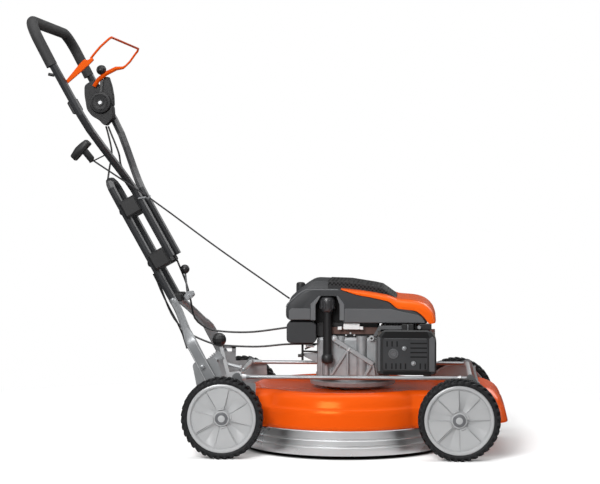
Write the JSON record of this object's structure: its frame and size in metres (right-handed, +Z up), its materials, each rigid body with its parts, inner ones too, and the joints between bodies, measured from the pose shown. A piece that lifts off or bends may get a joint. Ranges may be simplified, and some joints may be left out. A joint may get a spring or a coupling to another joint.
{
  "type": "lawn mower",
  "caption": "Petrol lawn mower with a round cutting deck under a steel ring, linked height-adjustable wheels, a top-mounted engine and a folding, telescoping handle.",
  "frame": {"origin": "on the ground, below the middle of the whole mower's box", "axes": "+X forward, +Y to the mower's left, +Z up"},
  "size_m": [1.2428, 0.58, 1.1326],
  "materials": {
    "black_plastic": "moulded satin",
    "bright_steel": "drawn and polished",
    "cable": "extruded sheath",
    "cast": "die cast",
    "dark_tube": "satin powder coat",
    "flywheel_iron": "as cast, rim machined",
    "foam": "soft foam sleeve",
    "grey_paint": "satin",
    "guard_black": "satin black heat paint",
    "muffler_steel": "heat-stained satin",
    "orange_paint": "gloss powder coat",
    "orange_trim": "moulded gloss",
    "orange_wire": "gloss powder coat on steel wire",
    "rim_plastic": "moulded light grey",
    "ring_steel": "rolled and brushed",
    "rope": "braided",
    "shroud_plastic": "moulded, fine grain",
    "tyre": "moulded rubber",
    "zinc": "zinc plated"
  },
  "bodies": {
    "chassis": {"deck_shell": "orange_paint", "wear_ring": "ring_steel", "rear_plate_right": "zinc", "rear_plate_left": "zinc", "front_plate_right": "zinc", "front_plate_left": "zinc", "front_cross_strap": "zinc", "engine_base": "grey_paint", "crankcase": "cast", "cylinder_block": "cast", "blower_shroud": "shroud_plastic", "shroud_trim": "orange_trim", "starter_grille": "black_plastic", "air_filter_cover": "shroud_plastic", "oil_filler_tube": "black_plastic", "muffler": "muffler_steel", "muffler_guard": "guard_black", "start_rope": "rope", "throttle_cable": "cable", "brake_cable": "cable"},
    "rotor": {"crankshaft": "bright_steel", "flywheel": "flywheel_iron", "blade_carrier": "cast", "blade": "zinc", "blade_bolt": "zinc"},
    "rear_axle": {"rear_arm_right": "zinc", "rear_arm_left": "zinc", "rear_tie_bar": "bright_steel", "height_lever": "bright_steel", "height_knob": "black_plastic"},
    "front_axle": {"front_arm_right": "zinc", "front_arm_left": "zinc", "front_tie_bar": "bright_steel"},
    "link_rods": {"link_rod_right": "bright_steel", "link_rod_left": "bright_steel"},
    "wheel_rear_right": {"tyre_rear_right": "tyre", "rim_rear_right": "rim_plastic"},
    "wheel_rear_left": {"tyre_rear_left": "tyre", "rim_rear_left": "rim_plastic"},
    "wheel_front_right": {"tyre_front_right": "tyre", "rim_front_right": "rim_plastic"},
    "wheel_front_left": {"tyre_front_left": "tyre", "rim_front_left": "rim_plastic"},
    "lower_handle": {"handle_leg_right": "zinc", "handle_leg_left": "zinc", "lower_loop": "dark_tube", "spine_knuckle": "black_plastic", "upper_clamp": "black_plastic", "lower_clamp": "black_plastic"},
    "upper_handle": {"upper_tube_right": "dark_tube", "upper_tube_left": "dark_tube", "handle_grip": "foam", "control_box": "black_plastic", "rope_guide": "zinc"},
    "stop_bail": {"stop_bail": "orange_wire"},
    "control_lever": {"control_lever": "black_plastic"},
    "tilt_lever": {"tilt_lever": "black_plastic"},
    "rope_grip": {"rope_grip": "black_plastic"},
    "oil_cap": {"oil_cap": "black_plastic"},
    "fuel_cap": {"fuel_cap": "black_plastic"}
  },
  "joints": [
    {"name": "blade_spin", "type": "hinge", "parent": "chassis", "child": "rotor", "pos_m": [0.19097, 0, 0.03], "axis": [0, 0, 1], "continuous": true},
    {"name": "height_adjust", "type": "hinge", "parent": "chassis", "child": "rear_axle", "pos_m": [-0.04903, 0, 0.14434], "axis": [0, 1, 0], "range_deg": [-25, 0]},
    {"name": "front_height", "type": "hinge", "parent": "chassis", "child": "front_axle", "pos_m": [0.55297, 0, 0.14434], "axis": [0, 1, 0], "range_deg": [-25, 0]},
    {"name": "link_swing", "type": "hinge", "parent": "rear_axle", "child": "link_rods", "pos_m": [-0.08003, 0, 0.20034], "axis": [0, 1, 0], "range_deg": [0, 25]},
    {"name": "wheel_rear_right_spin", "type": "hinge", "parent": "rear_axle", "child": "wheel_rear_right", "pos_m": [-0.11003, -0.2675, 0.10434], "axis": [0, 1, 0], "continuous": true},
    {"name": "wheel_rear_left_spin", "type": "hinge", "parent": "rear_axle", "child": "wheel_rear_left", "pos_m": [-0.11003, 0.2675, 0.10434], "axis": [0, 1, 0], "continuous": true},
    {"name": "wheel_front_right_spin", "type": "hinge", "parent": "front_axle", "child": "wheel_front_right", "pos_m": [0.49197, -0.2675, 0.10434], "axis": [0, 1, 0], "continuous": true},
    {"name": "wheel_front_left_spin", "type": "hinge", "parent": "front_axle", "child": "wheel_front_left", "pos_m": [0.49197, 0.2675, 0.10434], "axis": [0, 1, 0], "continuous": true},
    {"name": "handle_fold", "type": "hinge", "parent": "chassis", "child": "lower_handle", "pos_m": [-0.16763, 0, 0.2285], "axis": [0, 1, 0], "range_deg": [0, 60], "deforming": ["start_rope", "throttle_cable", "brake_cable"]},
    {"name": "handle_telescope", "type": "slide", "parent": "lower_handle", "child": "upper_handle", "axis": [-0.4848, 0, 0.8746], "range_m": [0, 0.1], "deforming": ["start_rope", "throttle_cable", "brake_cable"]},
    {"name": "bail_swing", "type": "hinge", "parent": "upper_handle", "child": "stop_bail", "pos_m": [-0.52103, 0, 0.9625], "axis": [0, 1, 0], "range_deg": [-62, 0], "stiffness_Nm_per_rad": 0.8, "springref_deg": 14.32},
    {"name": "throttle_swing", "type": "hinge", "parent": "upper_handle", "child": "control_lever", "pos_m": [-0.50483, 0.21, 0.9248], "axis": [0, 1, 0], "range_deg": [-12, 30]},
    {"name": "tilt_lock_swing", "type": "hinge", "parent": "lower_handle", "child": "tilt_lever", "pos_m": [-0.23253, 0, 0.395], "axis": [0, 1, 0], "range_deg": [0, 50]},
    {"name": "rope_pull", "type": "slide", "parent": "upper_handle", "child": "rope_grip", "axis": [-0.7645, -0.3496, 0.5416], "range_m": [0, 0.4], "stiffness_N_per_m": 12, "springref_m": -0.35, "deforming": ["start_rope"]},
    {"name": "oil_cap_turn", "type": "hinge", "parent": "chassis", "child": "oil_cap", "pos_m": [0.15097, -0.1318, 0.3658], "axis": [0, 0, 1], "continuous": true},
    {"name": "fuel_cap_turn", "type": "hinge", "parent": "chassis", "child": "fuel_cap", "pos_m": [0.06697, 0.085, 0.4303], "axis": [0, 0, 1], "continuous": true}
  ],
  "couplings": [
    {"joint": "front_height", "follows": "height_adjust", "ratio": 1},
    {"joint": "link_swing", "follows": "height_adjust", "ratio": -1}
  ]
}
